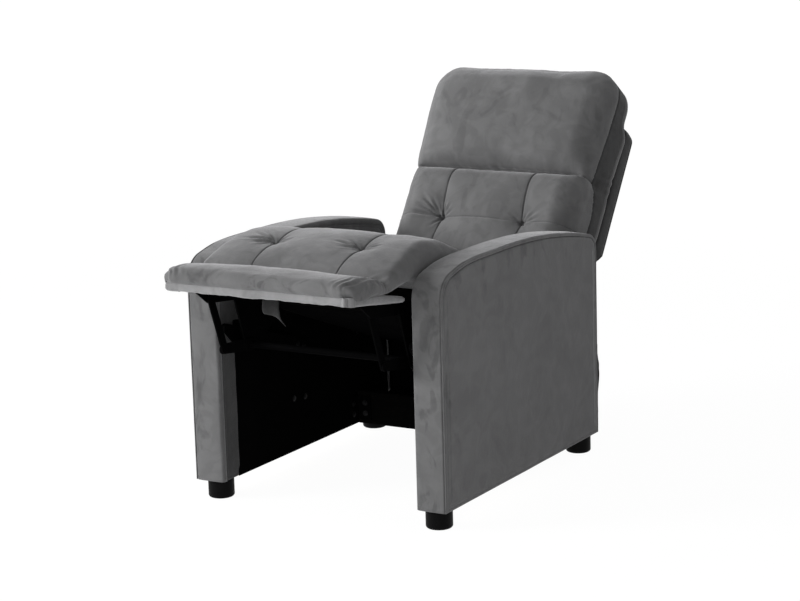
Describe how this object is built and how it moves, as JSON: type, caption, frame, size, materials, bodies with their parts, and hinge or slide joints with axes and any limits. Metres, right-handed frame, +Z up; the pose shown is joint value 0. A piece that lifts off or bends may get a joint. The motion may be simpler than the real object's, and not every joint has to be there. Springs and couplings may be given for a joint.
{
  "type": "recliner",
  "caption": "Push-back recliner with arched upholstered arms, a tufted back and head cushion, and a padded footrest that folds out on a steel parallel linkage as the seat tilts.",
  "frame": {"origin": "on the floor, under the middle of the whole chair as pictured, with the footrest out", "axes": "+Z up, -Y towards the front and the footrest, +X to the sitter's left"},
  "size_m": [0.68, 1.4048, 0.9022],
  "materials": {
    "velvet": "matte",
    "lining": "matte",
    "plywood": "matte",
    "timber": "matte",
    "black_timber": "matte",
    "black_steel": "satin",
    "spring_steel": "satin",
    "foot_plastic": "matte"
  },
  "bodies": {
    "base": {"arm_band_left": "velvet", "arm_band_right": "velvet", "arm_outer_cover_left": "velvet", "arm_outer_cover_right": "velvet", "arm_inner_facing_left": "velvet", "arm_inner_facing_right": "velvet", "arm_inner_lining_left": "lining", "arm_inner_lining_right": "lining", "arm_inner_plate_left": "plywood", "arm_inner_plate_right": "plywood", "arm_outer_plate_left": "plywood", "arm_outer_plate_right": "plywood", "arm_bottom_rail_left": "timber", "arm_bottom_rail_right": "timber", "foot_front_left": "foot_plastic", "foot_front_right": "foot_plastic", "foot_rear_left": "foot_plastic", "foot_rear_right": "foot_plastic", "cross_rail": "black_timber", "rail_angle_left": "black_steel", "rail_angle_right": "black_steel", "tilt_bracket_left": "black_steel", "tilt_bracket_right": "black_steel", "tilt_pin_left": "black_steel", "tilt_pin_right": "black_steel", "drive_bracket_left": "black_steel", "drive_bracket_right": "black_steel", "rear_dust_cloth": "lining"},
    "seat": {"seat_side_rail_left": "black_timber", "seat_side_rail_right": "black_timber", "seat_front_rail": "black_timber", "seat_rear_rail": "black_timber", "seat_spring_1": "spring_steel", "seat_spring_2": "spring_steel", "seat_spring_3": "spring_steel", "seat_base_cloth": "lining", "seat_cushion": "velvet", "seat_tilt_plate_left": "black_steel", "seat_tilt_plate_right": "black_steel", "crank_hanger_left": "black_steel", "crank_hanger_right": "black_steel"},
    "back": {"back_stile_left": "velvet", "back_stile_right": "velvet", "back_top_rail": "velvet", "back_bottom_rail": "black_timber", "back_rear_cover": "velvet", "back_webbing": "lining", "back_cushion": "velvet", "head_cushion": "velvet", "back_strap_left": "black_steel", "back_strap_right": "black_steel"},
    "footrest": {"footrest_board": "velvet", "footrest_pad": "velvet", "footrest_bracket_left": "black_steel", "footrest_bracket_right": "black_steel"},
    "crank": {"crank_shaft": "black_steel"},
    "footrest_links": {"footrest_link_left": "black_steel", "footrest_link_right": "black_steel"},
    "drive_links": {"drive_link_left": "black_steel", "drive_link_right": "black_steel"}
  },
  "joints": [
    {"name": "seat_tilt", "type": "hinge", "parent": "base", "child": "seat", "pos_m": [0, 0.14964, 0.385], "axis": [-1, 0, 0], "range_deg": [-15, 0]},
    {"name": "back_recline", "type": "hinge", "parent": "seat", "child": "back", "pos_m": [0, 0.36164, 0.294], "axis": [-1, 0, 0], "range_deg": [0, 15]},
    {"name": "footrest_fold", "type": "hinge", "parent": "seat", "child": "footrest", "pos_m": [0, -0.45036, 0.497], "axis": [-1, 0, 0], "range_deg": [-85, 0]},
    {"name": "crank_turn", "type": "hinge", "parent": "seat", "child": "crank", "pos_m": [0, -0.40336, 0.368], "axis": [-1, 0, 0], "range_deg": [-85, 0]},
    {"name": "links_turn", "type": "hinge", "parent": "footrest", "child": "footrest_links", "pos_m": [0, -0.56736, 0.51], "axis": [-1, 0, 0], "range_deg": [0, 85]},
    {"name": "drive_turn", "type": "hinge", "parent": "base", "child": "drive_links", "pos_m": [0, -0.18926, 0.33], "axis": [-1, 0, 0], "range_deg": [-53.43, 0]}
  ],
  "couplings": [
    {"joint": "footrest_fold", "follows": "seat_tilt", "ratio": 5.6666},
    {"joint": "crank_turn", "follows": "seat_tilt", "ratio": 5.6666},
    {"joint": "links_turn", "follows": "seat_tilt", "ratio": -5.6666},
    {"joint": "drive_turn", "follows": "seat_tilt", "ratio": 3.5614}
  ]
}
